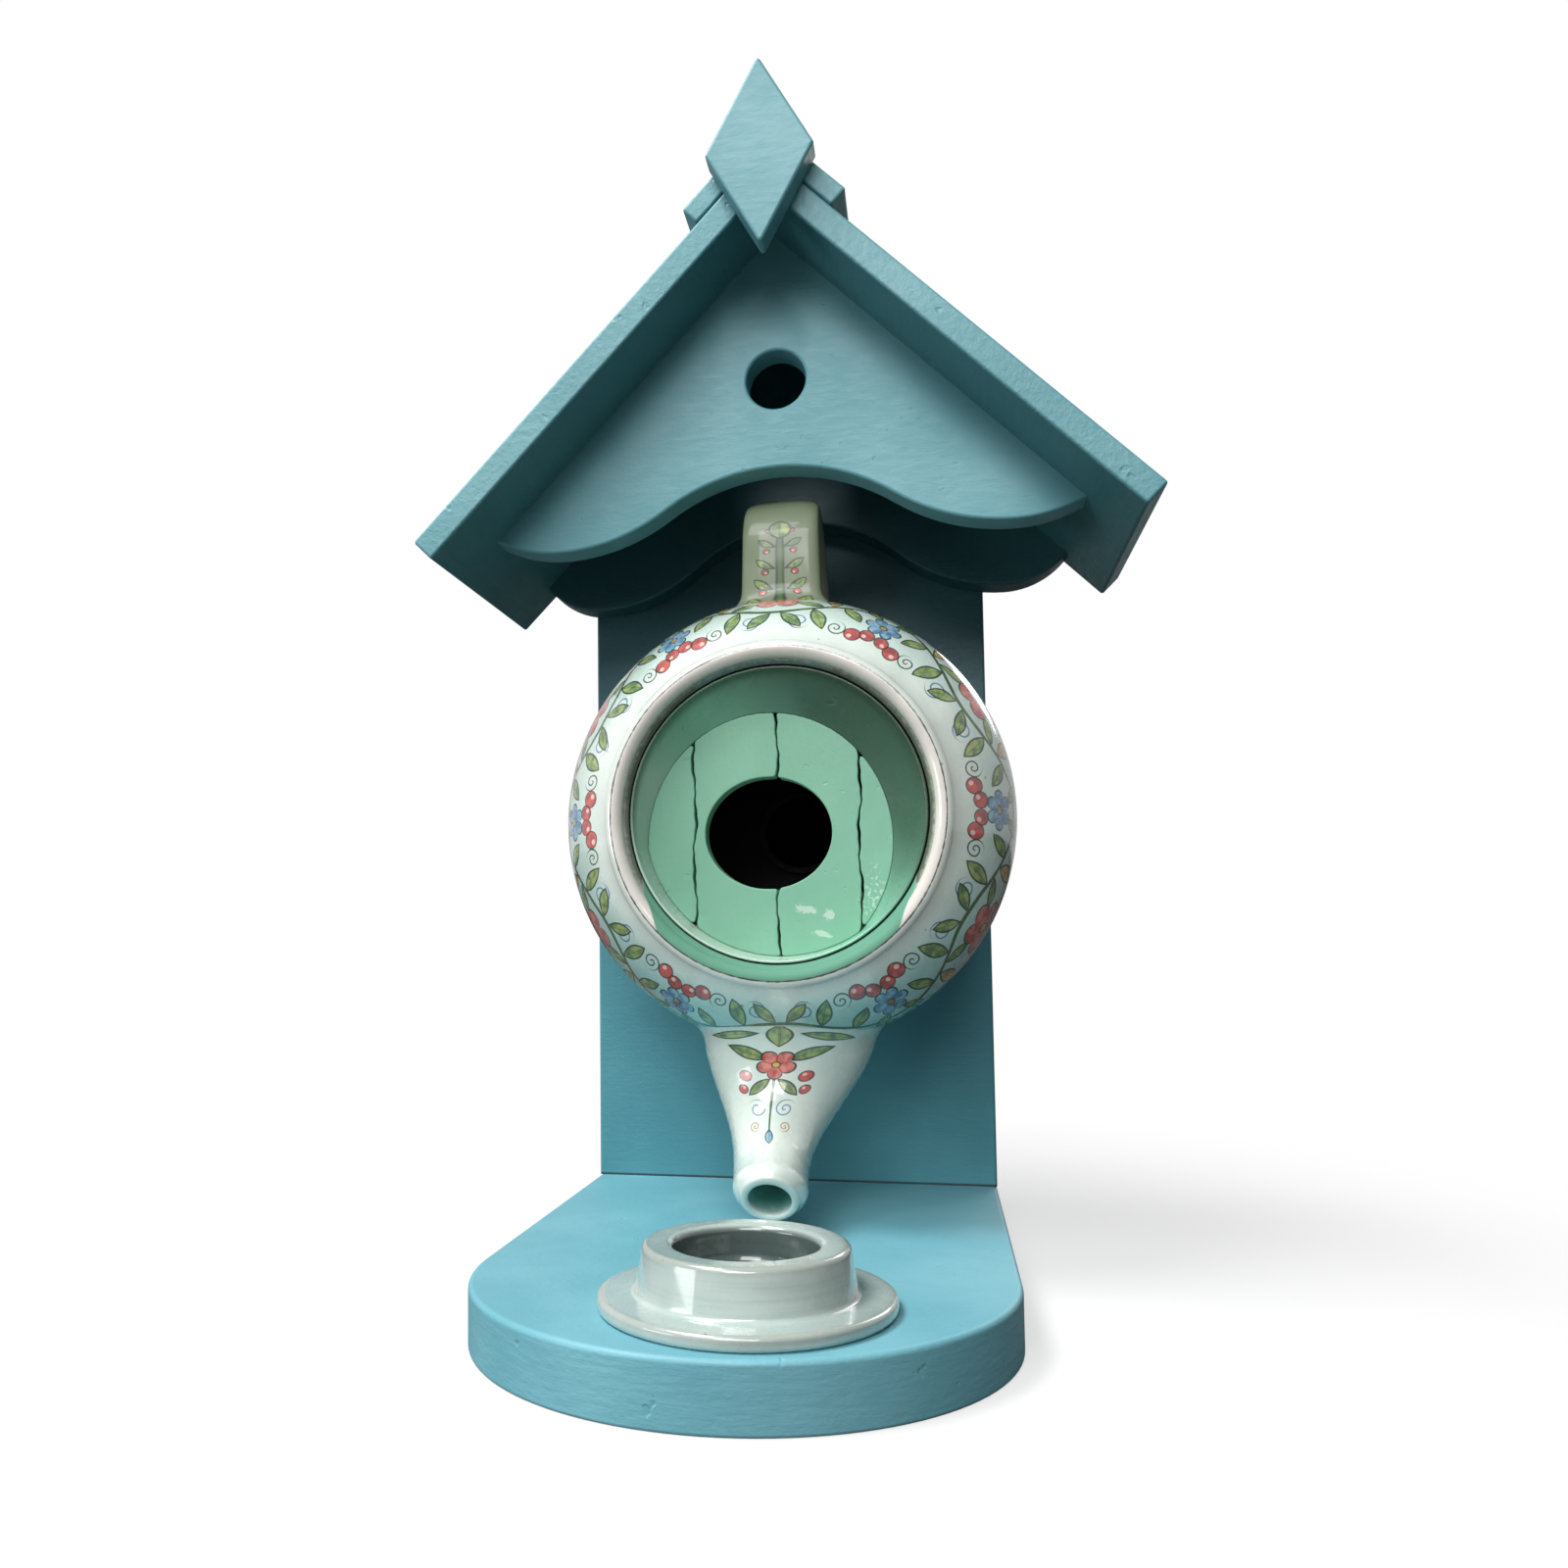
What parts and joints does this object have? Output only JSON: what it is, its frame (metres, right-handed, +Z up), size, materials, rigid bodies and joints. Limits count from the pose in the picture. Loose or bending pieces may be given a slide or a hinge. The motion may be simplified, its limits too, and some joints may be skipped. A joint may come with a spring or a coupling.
{
  "type": "birdhouse",
  "caption": "Wall-hung birdhouse: a glazed teapot lies mouth forward under a pitched roof, with a green plank entrance that pulls out and a lift-off dish on its base.",
  "frame": {"origin": "underside of the base, below the front face of the back board, on the pot's centre line", "axes": "+Z up, -Y to the front, where the entrance and the dish are, +X to the right as seen from the front"},
  "size_m": [0.1874, 0.176, 0.3052],
  "materials": {
    "teal_paint": "brush-painted teal, satin",
    "green_paint": "brush-painted sea green, satin",
    "celadon_glaze": "pale celadon glaze with painted flowers",
    "white_glaze": "white glaze",
    "zinc_steel": "zinc plated",
    "black_rubber": "matt",
    "grey_felt": "pressed felt",
    "birch_dowel": "bare wood"
  },
  "bodies": {
    "house": {"back_board": "teal_paint", "base_board": "teal_paint", "base_screws": "zinc_steel", "front_gable": "teal_paint", "rear_gable": "teal_paint", "gable_screws": "zinc_steel", "roof_left": "teal_paint", "roof_right": "teal_paint", "roof_brads": "zinc_steel", "ridge_cap_left": "teal_paint", "ridge_cap_right": "teal_paint", "finial": "teal_paint", "finial_dowel": "birch_dowel", "hanger_plate": "zinc_steel", "hanger_screws": "zinc_steel", "teapot_body": "celadon_glaze", "teapot_shoulder": "celadon_glaze", "teapot_spout": "celadon_glaze", "teapot_handle": "celadon_glaze", "pot_pad": "grey_felt", "pot_grommet": "black_rubber", "pot_washer": "zinc_steel", "pot_screw": "zinc_steel"},
    "entrance": {"entrance_ring": "green_paint", "plank_1": "green_paint", "plank_2": "green_paint", "plank_3": "green_paint", "plank_4": "green_paint", "batten_top": "green_paint", "batten_bottom": "green_paint", "entrance_gasket": "black_rubber"},
    "dish": {"lid_dish": "white_glaze"}
  },
  "joints": [
    {"name": "entrance_pull", "type": "slide", "parent": "house", "child": "entrance", "axis": [0, -1, 0], "range_m": [0, 0.03]},
    {"name": "dish_lift", "type": "slide", "parent": "house", "child": "dish", "axis": [0, 0, 1], "range_m": [0, 0.03]}
  ]
}
